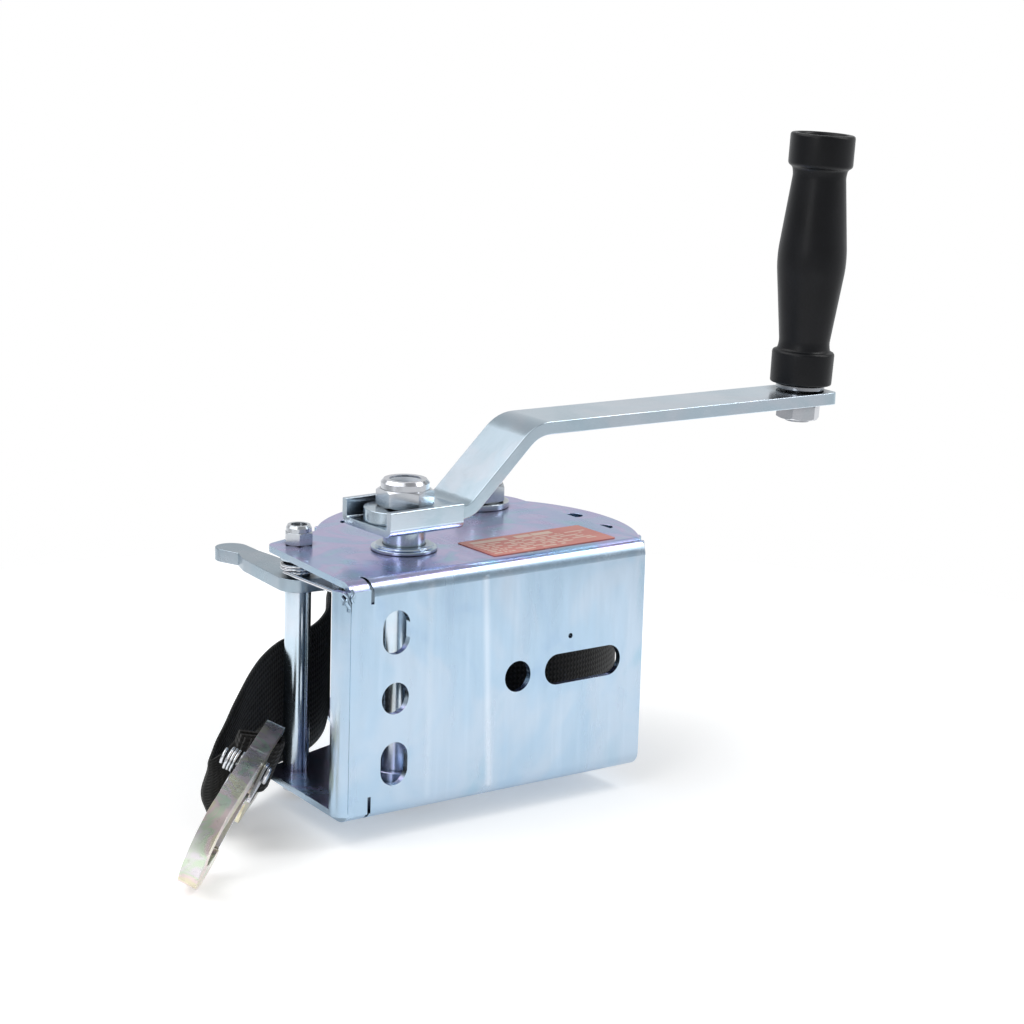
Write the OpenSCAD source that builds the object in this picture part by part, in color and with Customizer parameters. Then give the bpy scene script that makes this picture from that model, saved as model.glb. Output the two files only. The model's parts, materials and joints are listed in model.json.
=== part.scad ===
// Hand winch for a boat trailer, lying on its lower side plate.
// Origin: centre of the mounting face. +Y runs into the winch, +X along the base, +Z up.

/* [Frame] */
// Length of the base along X
base_l = 140; // [138:1:146]
// Height across the two side plates
frame_h = 91; // [90:1:94]
// Sheet thickness of the frame
sheet = 2.5; // [2:0.5:3]
// Outside radius of the frame's bends
bend_r = 6; // [5:0.5:7]

/* [Mounting holes] */
// Diameter of the holes and width of the slots
hole_d = 12; // [10:0.5:13]
// Distance of the front holes from the base's left end
front_hole_x = 24; // [22:1:26]
// Distance from the front holes to the rear round hole
hole_pitch = 56; // [54:1:58]
// Distance of the two upright slots above and below the middle
slot_z = 25; // [22:1:27]
// Length of an upright slot
slot_l = 16.5; // [14:0.5:18]
// Length of the long slot
long_slot_l = 36.4; // [30:0.2:38]

/* [Gears] */
// Gear module
gear_m = 2.9; // [2.9:0.1:2.9]
// Teeth of the pinion
pinion_teeth = 11; // [11:1:11]
// Teeth of the drum gear
drum_teeth = 45; // [45:1:45]
// Thickness of the drum gear, with the shroud over its teeth
gear_t = 5.5; // [5:0.5:6]

/* [Crank] */
// Distance from the shaft to the grip
crank_l = 197; // [180:1:220]
// Width of the crank arm
arm_w = 25; // [22:1:25]
// Thickness of the crank arm
arm_t = 5; // [4:0.5:5]
// Angle of the arm's rise
rise_angle = 43; // [38:1:46]
// Length of the grip
grip_l = 102; // [95:1:115]

/* [Strap] */
// Width of the webbing
strap_w = 49; // [45:1:50]
// Radius of the wound strap
roll_r = 57; // [45:1:57]
// Thickness of the webbing
strap_t = 2.2; // [1.6:0.2:2.4]

/* [Hook] */
// Thickness of the hook
hook_t = 7; // [6.5:0.5:7.5]
// Distance from the eye bar to the centre of the hook's bend
hook_l = 64; // [60:1:68]

/* [Hidden] */
$fn = 96;

zinc = [0.80, 0.84, 0.90];
gold_zinc = [0.78, 0.72, 0.50];
black_plastic = [0.06, 0.06, 0.07];
webbing = [0.04, 0.04, 0.05];

// Clearances: a turning fit, and a bolt or plain tube through its hole
run = 0.05;
loose = 0.1;

// Base's left and right ends, on the scale that places the axes
left_x = 4;
right_x = left_x + base_l;

// Axes of the drive shaft, the drum and the pawl
shaft_x = 55;
shaft_y = 35;
mesh_angle = 33.5;
centre_d = gear_m * (pinion_teeth + drum_teeth) / 2;
axle_x = shaft_x + centre_d * cos(mesh_angle);
axle_y = shaft_y + centre_d * sin(mesh_angle);
stud_x = 25.5;
stud_y = 62;
plate_z = frame_h - sheet;

// Side plates: left end at the base, and the round corner beside the stud (x, y, radius)
plate_x = 8;
plate_stud = [19.5, 63, 5.5];

// Bend at the base's left end: depth, and height of its lower edge
flange_deep = 6.8;
flange_low = 3;

// Drive shaft
journal_r = 8;
thread_r = 6;
bush_r = 11;
bush_flange_r = 12.5;
shoulder_z = frame_h + 9;
shaft_end_z = -6;
clip_z = -3.2;
clip_t = 1.2;

// Gears: addendum shift keeps the small pinion free of undercut
gear_z = 73.7;
shroud_t = 1.5;
shroud_r = 65;
pinion_z = 72;
pinion_t = 5.5;
shift = 0.4;
pressure = 20;
backlash = 0.12;
gear_hole_r = 3.5;
gear_hole_ring = 54.7;
gear_hole_pairs = 3;
gear_hole_half = 11.7;
gear_hole_at = -4.5;

// Drum
sleeve_r = 8.5;
drum_bush_r = 11;
hub_r = 17;
flange_z = 4;
flange_t = 2;
flange_r = 60;
strap_z = 6.3;
pin_r = 4;
pin_ring = 25;

// Fasteners: across flats and heights
m12_flats = 19;
m12_nut_h = 10.4;
m12_head_h = 8;
m10_flats = 16;
m6_flats = 10;
m6_nut_h = 7.5;
m6_head_h = 4;

// Crank
bracket_from = -17.4;
bracket_l = 33.4;
bracket_t = 2.8;
bracket_h = 9.8;
bracket_bend = 3.4;
arm_z = shoulder_z + bracket_t;
arm_top_z = 131.3;
arm_bend_x = 72.6;
arm_drop = 0.9;
low_bend_in = 8;
top_bend_in = 13;
grip_x = shaft_x + crank_l;
grip_foot_z = 136.8;
grip_lean = 3.2;
grip_bolt_r = 5;
arm_under = -7.7;

// Pawl
pawl_z = 73.9;
pawl_t = 5;
pawl_bush_r = 4.5;
pawl_clear = 1;
nose_angle = 125;
nose_r = 2;
spring_wire = 1.4;
spring_r = 6.4;
spring_turns = 2;
spring_z = 80.5;

// Hook: its place and turn when it lies back on the strap, eye bar along local Y
hook_at = [-9, 32.5, 19.5];
hook_turn = [-111.98, 9.93, -139.42];
bar_r = hook_t / 2 - 0.4;
slot_half = 11.5;
bend_in_r = 7.5;
bend_out_r = 16.5;
latch_at = [18.5, -6.5];
latch_turn = 20.1;
rivet_r = 2;
eye_strap_w = 22;
eye_leg_angle = 57.5;
eye_leg_l = 12;

// Label plate
label_l = 58;
label_w = 24;
label_x = 77.5;
label_y = 8;
label_t = 0.3;

// Free strap, from the roll past the stud to its fold: x, y, top, bottom
strap_route = [
    [73, 112, 56, 6.8], [65.5, 101.5, 55, 6.8], [58.5, 93, 52.5, 3.5], [50, 86.5, 50.5, 1.5],
    [38, 80.5, 49.5, 0.5], [26, 75.5, 49.5, 0.5], [12, 67, 46, -2], [-2, 58, 39.5, -5],
    [-13, 50.5, 31, -6.5], [-22, 44.5, 23.5, -7], [-27, 40.5, 21, -7], [-28.5, 37.5, 21, -5], [-27, 35.5, 22, -2],
    [-23, 34.5, 24, 6], [-19, 34.4, 28, 14]
];

// ---- Helpers ----

// Moves a shape drawn from the lower side plate's corner to the origin
module at_base() {
    translate([-left_x - base_l / 2, 0, -frame_h / 2]) children();
}

module at_shaft(z) {
    at_base() translate([shaft_x, shaft_y, z]) children();
}

module at_axle(z) {
    at_base() translate([axle_x, axle_y, z]) children();
}

module at_stud(z) {
    at_base() translate([stud_x, stud_y, z]) children();
}

module at_hook() {
    at_base() translate(hook_at) rotate(hook_turn) children();
}

// Outward normal of the line that touches two corner circles of a convex outline
function touch(a, b) =
    let (d = [b[0] - a[0], b[1] - a[1]])
    let (t = atan2(d[1], d[0]) - acos((a[2] - b[2]) / norm(d)))
    [cos(t), sin(t)];

// Convex outline with a true arc of radius c[2] at each corner, corners anticlockwise
module rounded(corners) {
    n = len(corners);
    polygon([
        for (i = [0 : n - 1])
            let (a = corners[i], b = corners[(i + 1) % n], t = touch(a, b))
            for (c = [a, b]) [c[0] + c[2] * t[0], c[1] + c[2] * t[1]]
    ]);
    for (c = corners) translate([c[0], c[1]]) circle(r = c[2]);
}

module plate(corners, t) {
    linear_extrude(t) rounded(corners);
}

module ring(r_out, r_in, h) {
    difference() {
        cylinder(r = r_out, h = h);
        translate([0, 0, -1]) cylinder(r = r_in, h = h + 2);
    }
}

module hexagon(flats, h) {
    cylinder(r = flats / sqrt(3), h = h, $fn = 6);
}

// Hexagon with its corners turned off at one end or both
module hex_body(flats, h, both = true) {
    corner = flats / sqrt(3);
    cut = corner - flats / 2;
    intersection() {
        hexagon(flats, h);
        rotate_extrude() polygon([
            [0, 0], [both ? corner - cut : corner, 0], [corner, both ? cut * 0.6 : 0],
            [corner, h - cut * 0.6], [corner - cut, h], [0, h]
        ]);
    }
}

// Lock nut: a hexagon with a round collar that holds the nylon ring
module lock_nut(flats, bore_r, h, turn = 0) {
    collar = h * 0.34;
    difference() {
        union() {
            rotate(turn) hex_body(flats, h - collar);
            translate([0, 0, h - collar - 0.5])
                rotate_extrude() polygon([
                    [0, 0], [flats * 0.485, 0], [flats * 0.485, collar * 0.8],
                    [flats * 0.43, collar + 0.5], [0, collar + 0.5]
                ]);
        }
        translate([0, 0, -1]) cylinder(r = bore_r, h = h + 2);
    }
}

module slot(l, d, h) {
    linear_extrude(h) rounded([[d / 2 - l / 2, 0, d / 2], [l / 2 - d / 2, 0, d / 2]]);
}

// Points of an arc about c
function arc(c, r, from, to, n = 6) =
    [for (i = [0 : n]) let (a = from + (to - from) * i / n) [c[0] + r * cos(a), c[1] + r * sin(a)]];

// ---- Gears ----

function involute(a) = tan(a) * 180 / PI - a;

// Outline of a spur gear with its first tooth on +X
function gear_points(teeth, x) =
    let (pitch_r = gear_m * teeth / 2, base_r = pitch_r * cos(pressure))
    let (tip_r = pitch_r + gear_m * (1 + x), root_r = pitch_r - gear_m * (1.25 - x))
    let (half_arc = gear_m * (PI / 4 + x * tan(pressure)) - backlash)
    let (half = half_arc / pitch_r * 180 / PI + involute(pressure))
    let (low_r = max(base_r, root_r + 0.3), steps = 4)
    let (radii = [for (i = [0 : steps]) low_r + (tip_r - low_r) * i / steps])
    let (flank = [for (r = radii) [r, half - involute(acos(base_r / r))]])
    let (side = concat([[root_r, flank[0][1]]], flank))
    [
        for (k = [0 : teeth - 1])
            let (at = k * 360 / teeth)
            each concat(
                [for (p = side) [p[0] * cos(at - p[1]), p[0] * sin(at - p[1])]],
                [for (i = [len(side) - 1 : -1 : 0])
                    let (p = side[i]) [p[0] * cos(at + p[1]), p[0] * sin(at + p[1])]]
            )
    ];

// ---- Frame ----

// Plan of the frame: the base's length, tapering back round the stud and the drum axle
module frame_plan() {
    axle = [axle_x, axle_y, right_x - axle_x];
    start = [plate_x, bend_r + 1, 0];
    rear = touch(axle, plate_stud);
    left = touch(plate_stud, start);
    polygon([
        [plate_x, -1], [right_x, -1], [right_x, axle_y],
        [axle_x + axle[2] * rear[0], axle_y + axle[2] * rear[1]],
        [plate_stud[0] + plate_stud[2] * rear[0], plate_stud[1] + plate_stud[2] * rear[1]],
        [plate_stud[0] + plate_stud[2] * left[0], plate_stud[1] + plate_stud[2] * left[1]],
        [start[0], start[1]]
    ]);
    for (c = [axle, plate_stud]) translate([c[0], c[1]]) circle(r = c[2]);
}

// U section of the frame in Y and Z
module frame_section() {
    reach = 2 * base_l;
    difference() {
        rounded([
            [bend_r, frame_h - bend_r, bend_r], [bend_r, bend_r, bend_r],
            [reach, 1, 1], [reach, frame_h - 1, 1]
        ]);
        rounded([
            [bend_r, frame_h - bend_r, bend_r - sheet], [bend_r, bend_r, bend_r - sheet],
            [2 * reach, sheet + 1, 1], [2 * reach, plate_z - 1, 1]
        ]);
    }
}

// Left end of the base, with the short flange that turns back
module return_flange() {
    translate([left_x, 0, flange_low]) linear_extrude(frame_h - 2 * flange_low) {
        difference() {
            translate([bend_r, bend_r]) circle(r = bend_r);
            translate([bend_r, bend_r]) circle(r = bend_r - sheet);
            translate([bend_r, -1]) square([bend_r + 1, 2 * bend_r + 2]);
            translate([-1, bend_r]) square([bend_r + 2, bend_r + 1]);
        }
        translate([0, bend_r]) square([sheet, flange_deep - bend_r]);
        translate([bend_r, 0]) square([bend_r + 2, sheet]);
    }
}

module base_holes() {
    mid = frame_h / 2;
    front_x = left_x + front_hole_x;
    rear_x = front_x + hole_pitch;
    long_slot_x = rear_x + 31;
    cut = 3 * sheet;
    for (x = [front_x, rear_x])
        translate([x, cut - 1, mid]) rotate([90, 0, 0]) cylinder(d = hole_d, h = cut);
    for (s = [-1, 1])
        translate([front_x, cut - 1, mid + s * slot_z])
            rotate([90, 90, 0]) slot(slot_l, hole_d, cut);
    translate([long_slot_x, cut - 1, mid]) rotate([90, 0, 0]) slot(long_slot_l, hole_d, cut);
    translate([rear_x + 24.6, cut - 1, mid + 12.4]) rotate([90, 0, 0]) cylinder(d = 2, h = cut);
}

// Narrow slits that free the corner's bend from the long bend
module relief_slits() {
    slit_x = 16.5;
    slit_w = 1.4;
    slit_l = 9.5;
    for (s = [0, 1])
        translate([slit_x, -1, s * (frame_h + 1 - slit_l) - 1 + s]) cube([slit_w, bend_r + 3, slit_l + 1 - s]);
}

module frame() {
    color(zinc) at_base() difference() {
        union() {
            intersection() {
                rotate([90, 0, 90]) linear_extrude(right_x + 1) frame_section();
                translate([0, 0, -1]) linear_extrude(frame_h + 2) frame_plan();
            }
            return_flange();
        }
        base_holes();
        relief_slits();
        for (z = [-1, plate_z - 1]) {
            translate([shaft_x, shaft_y, z]) cylinder(r = bush_r + loose, h = sheet + 2);
            translate([axle_x, axle_y, z]) cylinder(r = thread_r + loose, h = sheet + 2);
            translate([stud_x, stud_y, z]) cylinder(r = 3 + loose, h = sheet + 2);
        }
    }
}

// Flanged steel bush, flange at z = 0 and barrel upwards on both sides of it
module bush(above, below) {
    difference() {
        union() {
            translate([0, 0, -below]) cylinder(r = bush_r, h = above + below);
            cylinder(r = bush_flange_r, h = 1.5);
        }
        translate([0, 0, -below - 1]) cylinder(r = journal_r + run, h = above + below + 2);
    }
}

module upper_bush() {
    color(zinc) at_shaft(frame_h) bush(2.4, 5);
}

module lower_bush() {
    color(zinc) at_shaft(0) mirror([0, 0, 1]) bush(1.5, 6);
}

module label() {
    color([0.80, 0.42, 0.36]) at_base() translate([label_x, label_y, frame_h])
        plate([
            [1, 1, 1], [label_l - 1, 1, 1], [label_l - 1, label_w - 1, 1], [1, label_w - 1, 1]
        ], label_t);
}

// ---- Drum axle ----

module axle_bolt() {
    color(zinc) at_axle(-m12_head_h) {
        hex_body(m12_flats, m12_head_h);
        cylinder(r = thread_r, h = m12_head_h + frame_h + m12_nut_h + 3);
    }
}

module axle_sleeve() {
    color(zinc) at_axle(sheet) ring(sleeve_r, thread_r + loose, plate_z - sheet);
}

module axle_washer() {
    color(zinc) at_axle(frame_h) ring(12, thread_r + loose, 2.5);
}

module axle_nut() {
    color(zinc) at_axle(frame_h + 2.5) lock_nut(m12_flats, thread_r + loose, m12_nut_h);
}

// ---- Stud ----

module stud_bolt() {
    color(zinc) at_stud(-1.6 - m6_head_h) {
        hex_body(m6_flats, m6_head_h);
        cylinder(r = 3, h = 1.6 + m6_head_h + frame_h + m6_nut_h - 1);
    }
}

module stud_washer() {
    color(zinc) at_stud(-1.6) ring(6, 3 + loose, 1.6);
}

module stud_tube() {
    color(zinc) at_stud(sheet) ring(5, 3 + loose, pawl_z - 0.2 - sheet);
}

// Sleeve that the pawl turns on, with a collar over the spring
module pawl_bush() {
    low = pawl_z - 0.2;
    color(zinc) at_stud(low) difference() {
        union() {
            cylinder(r = pawl_bush_r, h = plate_z - low);
            translate([0, 0, spring_z + 4.6 - low]) cylinder(r = 7, h = 1.5);
        }
        translate([0, 0, -1]) cylinder(r = 3 + loose, h = plate_z - low + 2);
    }
}

module stud_nut() {
    color(zinc) at_stud(frame_h) lock_nut(m6_flats, 3 + loose, m6_nut_h);
}

// ---- Strap ----

// Four corners of the webbing at route point i
function strap_corners(i) =
    let (n = len(strap_route) - 1)
    let (a = strap_route[max(i - 1, 0)], b = strap_route[min(i + 1, n)], p = strap_route[i])
    let (d = [b[0] - a[0], b[1] - a[1]], s = [-d[1], d[0]] / norm(d) * strap_t / 2)
    [
        [p[0] + s[0], p[1] + s[1], p[3]], [p[0] - s[0], p[1] - s[1], p[3]],
        [p[0] - s[0], p[1] - s[1], p[2]], [p[0] + s[0], p[1] + s[1], p[2]]
    ];

module strap_tail() {
    n = len(strap_route);
    color(webbing) at_base() polyhedron(
        points = [for (i = [0 : n - 1]) each strap_corners(i)],
        faces = concat(
            [[3, 2, 1, 0]],
            [
                for (i = [0 : n - 2], k = [0 : 3])
                    let (a = 4 * i + k, b = 4 * i + (k + 1) % 4)
                    each [[a, b, a + 4], [b, b + 4, a + 4]]
            ],
            [[for (k = [0 : 3]) 4 * (n - 1) + k]]
        )
    );
}

// Sewn loop round the hook's eye bar, and the doubled end that leaves it
module strap_eye() {
    inner = bar_r + 0.8;
    color(webbing) at_hook() rotate([90, 0, 0]) translate([0, 0, -eye_strap_w / 2])
        difference() {
            union() {
                cylinder(r = inner + strap_t, h = eye_strap_w);
                rotate([0, 0, -eye_leg_angle])
                    translate([0, -strap_t, 0]) cube([eye_leg_l, 2 * strap_t, eye_strap_w]);
            }
            translate([0, 0, -1]) cylinder(r = inner, h = eye_strap_w + 2);
        }
}

module strap_roll() {
    color(webbing) at_axle(strap_z) difference() {
        ring(roll_r, hub_r + 0.3, strap_w);
        rotate(gear_hole_at) translate([pin_ring, 0, -1]) cylinder(r = pin_r + loose, h = strap_w + 2);
    }
}

// ---- Drive shaft and crank ----

module drive_shaft() {
    color(zinc) at_shaft(shaft_end_z) difference() {
        union() {
            cylinder(r = journal_r, h = shoulder_z - shaft_end_z);
            cylinder(r = thread_r, h = arm_z + arm_t + m12_nut_h - 3.4 - shaft_end_z);
        }
        translate([0, 0, clip_z - shaft_end_z]) ring(journal_r + 1, journal_r - 0.8, clip_t + 0.1);
    }
}

module shaft_clip() {
    color(zinc) at_shaft(clip_z) difference() {
        ring(11, journal_r - 0.7, clip_t);
        translate([0, -2, -1]) cube([20, 4, clip_t + 2]);
    }
}

module pinion() {
    pitch = 360 / pinion_teeth;
    color(zinc) at_shaft(pinion_z) difference() {
        rotate(mesh_angle + pitch / 2)
            linear_extrude(pinion_t) polygon(gear_points(pinion_teeth, shift));
        translate([0, 0, -1]) cylinder(r = journal_r + run, h = pinion_t + 2);
    }
}

// Channel that carries the arm on the end of the shaft
module crank_bracket() {
    wide = arm_w + 2 * bracket_bend + 0.2;
    inner = bracket_bend - bracket_t;
    color(zinc) at_shaft(shoulder_z) difference() {
        translate([bracket_from, 0, 0]) rotate([90, 0, 90]) linear_extrude(bracket_l) difference() {
            rounded([
                [bracket_bend - wide / 2, bracket_bend, bracket_bend],
                [wide / 2 - bracket_bend, bracket_bend, bracket_bend],
                [wide / 2 - 0.5, bracket_h - 0.5, 0.5], [0.5 - wide / 2, bracket_h - 0.5, 0.5]
            ]);
            rounded([
                [bracket_bend - wide / 2, bracket_bend, inner],
                [wide / 2 - bracket_bend, bracket_bend, inner],
                [wide / 2 - bracket_t - 0.5, 2 * bracket_h, 0.5],
                [0.5 + bracket_t - wide / 2, 2 * bracket_h, 0.5]
            ]);
        }
        translate([0, 0, -1]) cylinder(r = thread_r + loose, h = 10);
    }
}

// Side view of the arm: lower flat, rise, and an upper flat that drops a little to its end
function arm_profile() =
    let (low_out = low_bend_in + arm_t, top_out = top_bend_in + arm_t)
    let (both = low_out + top_bend_in, sn = sin(rise_angle), cs = cos(rise_angle))
    let (rise = arm_top_z - arm_z - both * (1 - cs))
    let (c1 = [arm_bend_x, arm_z + low_out])
    let (c2 = [arm_bend_x + both * sn + rise / sn * cs, arm_top_z - top_bend_in])
    let (end_z = arm_top_z - (arm_x1 - c2[0]) * tan(arm_drop))
    concat(
        [[arm_x0, arm_z]],
        arc(c1, low_out, -90, rise_angle - 90),
        arc(c2, top_bend_in, rise_angle + 90, 90 - arm_drop),
        [[arm_x1, end_z], [arm_x1, end_z + arm_t]],
        arc(c2, top_out, 90 - arm_drop, rise_angle + 90),
        arc(c1, low_bend_in, rise_angle - 90, -90),
        [[arm_x0, arm_z + arm_t]]
    );

arm_end = 3.7;
arm_x0 = shaft_x - arm_end - arm_w / 2;
arm_x1 = grip_x + 10;
arm_corner = 3;

module crank_arm() {
    side = arm_w / 2 - arm_corner;
    color(zinc) at_base() difference() {
        intersection() {
            translate([0, shaft_y + arm_w, 0]) rotate([90, 0, 0])
                linear_extrude(2 * arm_w) polygon(arm_profile());
            plate([
                [shaft_x - arm_end, shaft_y, arm_w / 2],
                [arm_x1 - arm_corner, shaft_y - side, arm_corner],
                [arm_x1 - arm_corner, shaft_y + side, arm_corner]
            ], 200);
        }
        translate([shaft_x, shaft_y, arm_z - 1]) cylinder(r = thread_r + loose, h = arm_t + 2);
        translate([grip_x, shaft_y, grip_foot_z]) rotate([0, grip_lean, 0])
            translate([0, 0, arm_under - 1]) cylinder(r = grip_bolt_r + loose, h = arm_t + 2);
    }
}

module crank_nut() {
    color(zinc) at_shaft(arm_z + arm_t) lock_nut(m12_flats, thread_r + loose, m12_nut_h, 23);
}

// Along the grip's leaning axis, from the foot of the grip
module at_grip(z) {
    at_base() translate([grip_x, shaft_y, grip_foot_z]) rotate([0, grip_lean, 0])
        translate([0, 0, z]) children();
}

module grip_bolt() {
    head_z = grip_l - 12;
    low_z = arm_under - 8;
    color(zinc) {
        at_grip(low_z) cylinder(r = grip_bolt_r, h = head_z - low_z + 0.01);
        at_grip(head_z) hex_body(m10_flats, 6.4);
    }
}

module grip_nut() {
    nut_h = 6.5;
    color(zinc) at_grip(arm_under - 0.4 - nut_h) rotate(-25) difference() {
        hex_body(m10_flats, nut_h);
        translate([0, 0, -1]) cylinder(r = grip_bolt_r + loose, h = nut_h + 2);
    }
}

module grip_washer() {
    color(zinc) at_grip(-2.25) ring(10, grip_bolt_r + loose, 1.8);
}

// Half section of the grip: caps at both ends, necks, and two cones that meet at the middle
function grip_side() =
    let (foot = 12.8, low_neck = 10.3, belly = 14, high_neck = 10.8, head = 13.2)
    let (cap = 13.5, low = cap + 3.5, high = grip_l - cap - 3.5, mid = grip_l / 2)
    [
        [foot - 1, 0], [foot, 1], [foot, cap - 1], [foot - 1, cap], [low_neck, low],
        [belly - 0.6, mid - 6], [belly - 0.15, mid - 2.5], [belly, mid],
        [belly - 0.15, mid + 2.5], [belly - 0.6, mid + 6], [high_neck, high],
        [head - 1, grip_l - cap], [head, grip_l - cap + 1],
        [head, grip_l - 2.5], [head - 0.8, grip_l - 0.8], [head - 2.5, grip_l]
    ];

module grip() {
    color(black_plastic) at_grip(0) difference() {
        rotate_extrude() polygon(concat([[0, 0]], grip_side(), [[0, grip_l]]));
        translate([0, 0, -1]) cylinder(r = grip_bolt_r + run, h = grip_l + 2);
        translate([0, 0, grip_l - 12.1]) cylinder(r = 9.8, h = 20);
    }
}

// ---- Drum ----

// Holes through the gear: pairs of small ones, and the strap's pin
module gear_holes() {
    translate([0, 0, -1]) cylinder(r = hub_r - 4, h = gear_t + 2);
    rotate(gear_hole_at) {
        for (k = [0 : gear_hole_pairs - 1], s = [-1, 1])
            rotate(k * 360 / gear_hole_pairs + s * gear_hole_half)
                translate([gear_hole_ring, 0, -1]) cylinder(r = gear_hole_r, h = gear_t + 2);
        translate([pin_ring, 0, -1]) cylinder(r = pin_r + loose, h = gear_t + 2);
    }
}

// Toothed wheel with a thin round shroud over the upper ends of its teeth
module drum_gear() {
    color(zinc) at_axle(gear_z) difference() {
        union() {
            rotate(mesh_angle + 180)
                linear_extrude(gear_t - shroud_t) polygon(gear_points(drum_teeth, -shift));
            translate([0, 0, gear_t - shroud_t]) cylinder(r = shroud_r, h = shroud_t);
        }
        gear_holes();
    }
}

// Tube of the drum, with a spigot at each end for the gear and the flange
module drum_hub() {
    spigot = hub_r - 4 - loose;
    color(zinc) at_axle(flange_z) difference() {
        union() {
            cylinder(r = spigot, h = gear_z + gear_t - flange_z);
            translate([0, 0, flange_t]) cylinder(r = hub_r, h = gear_z - flange_z - flange_t);
        }
        translate([0, 0, -1]) cylinder(r = drum_bush_r + loose, h = frame_h);
    }
}

module drum_bush() {
    color([0.62, 0.50, 0.30]) at_axle(flange_z)
        ring(drum_bush_r, sleeve_r + run, gear_z + gear_t - flange_z);
}

module drum_flange() {
    color(zinc) at_axle(flange_z) difference() {
        ring(flange_r, hub_r - 4, flange_t);
        rotate(gear_hole_at) translate([pin_ring, 0, -1]) cylinder(r = pin_r + loose, h = flange_t + 2);
    }
}

module strap_pin() {
    color(zinc) at_axle(flange_z) rotate(gear_hole_at) translate([pin_ring, 0, 0])
        cylinder(r = pin_r, h = gear_z + gear_t - flange_z);
}

// ---- Pawl ----

nose_d = gear_m * (pinion_teeth / 2 + 1 + shift) + pawl_clear + nose_r;
nose = [shaft_x + nose_d * cos(nose_angle) - stud_x, shaft_y + nose_d * sin(nose_angle) - stud_y];

module pawl() {
    color(zinc) at_stud(pawl_z) difference() {
        linear_extrude(pawl_t) {
            rounded([[0, 0, 8.5], [nose[0], nose[1], nose_r]]);
            rounded([[0, 0, 8.5], [1.5, 30, 6.5]]);
            rounded([[1.5, 30, 6.5], [3, 40, 4.5]]);
            rounded([[3, 40, 4.5], [1.5, 50, 6.5]]);
        }
        translate([0, 0, -1]) cylinder(r = pawl_bush_r + run, h = pawl_t + 2);
    }
}

// Torsion spring: path with a leg at each end of the coil
function spring_path() =
    let (steps = 16, total = spring_turns * 360 + 180, pitch = spring_wire + 0.15)
    concat(
        [[-spring_r, -44, spring_z + 0.2]],
        [
            for (i = [0 : steps * spring_turns])
                let (t = i / (steps * spring_turns), a = 180 + total * t)
                [spring_r * cos(a), spring_r * sin(a), spring_z + 0.2 + pitch * spring_turns * t]
        ],
        [[spring_r, 17, spring_z + 0.2 + pitch * spring_turns]]
    );

// Tube along a path that stays near level, with an upright six-sided section
module wire(path, r) {
    n = len(path);
    sides = 6;
    points = [
        for (i = [0 : n - 1])
            let (d = path[min(i + 1, n - 1)] - path[max(i - 1, 0)])
            let (s = [-d[1], d[0], 0] / norm([d[0], d[1]]))
            for (k = [0 : sides - 1])
                let (a = 360 * k / sides) path[i] + r * cos(a) * s + [0, 0, r * sin(a)]
    ];
    polyhedron(
        points = points,
        faces = concat(
            [[for (k = [sides - 1 : -1 : 0]) k]],
            [
                for (i = [0 : n - 2], k = [0 : sides - 1])
                    let (a = sides * i + k, b = sides * i + (k + 1) % sides)
                    each [[a, b, a + sides], [b, b + sides, a + sides]]
            ],
            [[for (k = [0 : sides - 1]) sides * (n - 1) + k]]
        )
    );
}

module pawl_spring() {
    color(zinc) at_stud(0) wire(spring_path(), spring_wire / 2);
}

// ---- Hook ----

module hook_outline() {
    difference() {
        rounded([[0, -slot_half, 4.5], [20, -slot_half, 4.5], [22, 9, 5], [0, slot_half, 4.5]]);
        translate([-10, -slot_half]) square([23, 2 * slot_half]);
    }
    rounded([[20, -10, 5.6], [35, -12.4, 4.9]]);
    rounded([[35, -12.4, 4.9], [hook_l, -12, 4.4]]);
    rounded([[hook_l + 1, 12, 4.1], [hook_l - 10, 12, 3.6]]);
    translate([hook_l, 0]) difference() {
        circle(r = bend_out_r);
        circle(r = bend_in_r);
        translate([-2 * bend_out_r, -2 * bend_out_r]) square([2 * bend_out_r, 4 * bend_out_r]);
    }
}

module hook_body() {
    color(gold_zinc) at_hook() difference() {
        union() {
            translate([0, 0, -hook_t / 2]) linear_extrude(hook_t) hook_outline();
            rotate([90, 0, 0]) translate([0, 0, -slot_half - 1]) cylinder(r = bar_r, h = 2 * slot_half + 2);
        }
        translate([latch_at[0], latch_at[1], -hook_t]) cylinder(r = rivet_r + loose, h = 2 * hook_t);
    }
}

// On the rivet's axis, turned to the line of the gate
module at_latch() {
    at_hook() translate([latch_at[0], latch_at[1], 0]) rotate(latch_turn) children();
}

cheek_z = hook_t / 2 + 0.3;
cheek_t = 1.2;
rivet_out = 10.5;

module latch_rivet() {
    top = cheek_z + cheek_t + 0.2;
    color(zinc) at_latch() {
        translate([0, 0, -rivet_out]) cylinder(r = rivet_r, h = rivet_out + top + 0.01);
        translate([0, 0, top]) cylinder(r = 3.4, h = 1.4);
        translate([0, 0, -rivet_out - 1.2]) cylinder(r = 3.2, h = 1.21);
    }
}

module latch_spring() {
    coil_r = 4;
    wire_r = 0.6;
    turns = 3;
    steps = 14;
    low = -cheek_z - cheek_t - 0.9;
    path = concat(
        [[13, 2.4, low]],
        [
            for (i = [0 : steps * turns])
                let (t = i / (steps * turns), a = 110 + t * 360 * turns)
                [coil_r * cos(a), coil_r * sin(a), low - t * 1.25 * turns]
        ],
        [[-4, 8, low - 1.25 * turns]]
    );
    color(zinc) at_latch() wire(path, wire_r);
}

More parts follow.
